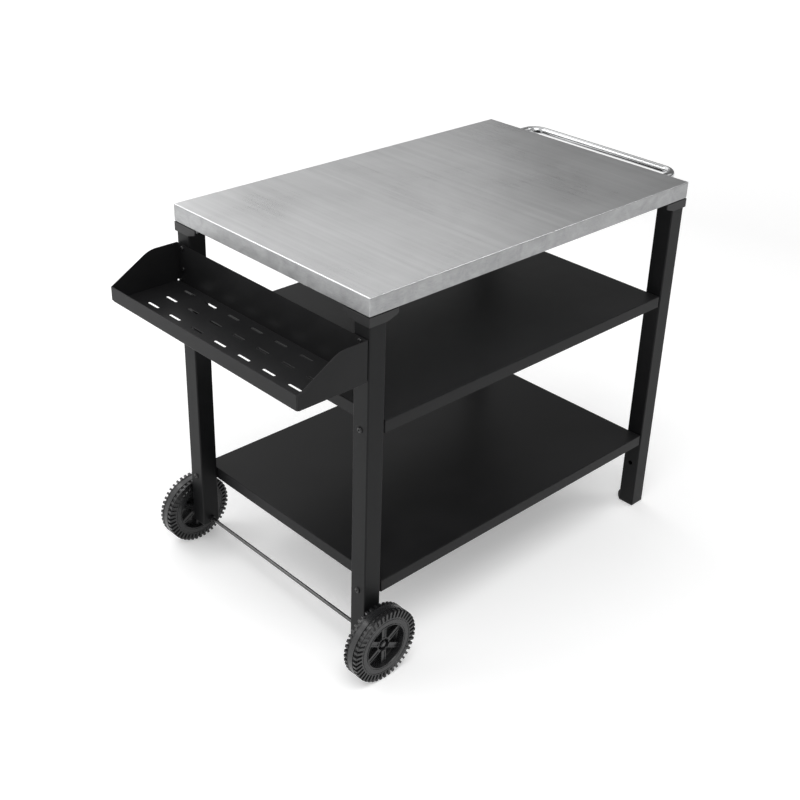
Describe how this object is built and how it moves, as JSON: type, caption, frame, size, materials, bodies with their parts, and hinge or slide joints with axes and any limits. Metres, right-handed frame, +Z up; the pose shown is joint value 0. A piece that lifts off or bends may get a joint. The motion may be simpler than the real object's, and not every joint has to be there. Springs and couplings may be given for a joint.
{
  "type": "grill cart",
  "caption": "Rolling grill cart with a folded stainless worktop on square legs, sheet shelves, a slotted side tray and a tube handle.",
  "frame": {"origin": "on the ground, below the middle of the whole cart between the outer edge of the side tray and the handle", "axes": "+X runs along the cart from the wheels and the side tray towards the handle, +Y runs across it, away from the near side of the picture, and +Z is up"},
  "size_m": [1.2006, 0.684, 0.85],
  "materials": {
    "worktop_steel": "brushed across the length",
    "polished_steel": "polished",
    "black_frame": "satin powder coat",
    "black_sheet": "satin powder coat",
    "black_bolt": "black oxide",
    "zinc_steel": "zinc plated steel",
    "black_plastic": "moulded, satin",
    "wheel_plastic": "moulded, satin"
  },
  "bodies": {
    "frame": {"tabletop": "worktop_steel", "top_aprons": "worktop_steel", "top_stiffeners": "zinc_steel", "leg_wheel_front": "black_frame", "leg_wheel_rear": "black_frame", "leg_foot_front": "black_frame", "leg_foot_rear": "black_frame", "bracket_wheel_front": "black_plastic", "bracket_wheel_rear": "black_plastic", "bracket_foot_front": "black_plastic", "bracket_foot_rear": "black_plastic", "top_screws": "zinc_steel", "top_nuts": "zinc_steel", "bracket_screws": "zinc_steel", "mid_shelf": "black_sheet", "bottom_shelf": "black_sheet", "shelf_stiffeners": "black_sheet", "shelf_spacers": "black_plastic", "shelf_bolts_wheel_end": "black_bolt", "shelf_bolts_foot_end": "black_bolt", "shelf_nuts": "zinc_steel", "side_tray": "black_sheet", "tray_spacers": "black_plastic", "tray_screws": "black_bolt", "tray_nuts": "zinc_steel", "handle": "polished_steel", "handle_screws": "zinc_steel", "handle_washers": "zinc_steel", "foot_cap_front": "black_plastic", "foot_cap_rear": "black_plastic", "leg_plug_front": "black_plastic", "leg_plug_rear": "black_plastic", "axle": "black_bolt", "axle_inner_nuts": "black_bolt", "axle_spacers": "black_bolt", "axle_washers": "black_bolt", "axle_nuts": "black_bolt"},
    "wheel_front": {"wheel_front": "wheel_plastic"},
    "wheel_rear": {"wheel_rear": "wheel_plastic"}
  },
  "joints": [
    {"name": "wheel_front_spin", "type": "hinge", "parent": "frame", "child": "wheel_front", "pos_m": [-0.41475, -0.32275, 0.082], "axis": [0, 1, 0], "continuous": true},
    {"name": "wheel_rear_spin", "type": "hinge", "parent": "frame", "child": "wheel_rear", "pos_m": [-0.41475, 0.32275, 0.082], "axis": [0, 1, 0], "continuous": true}
  ]
}
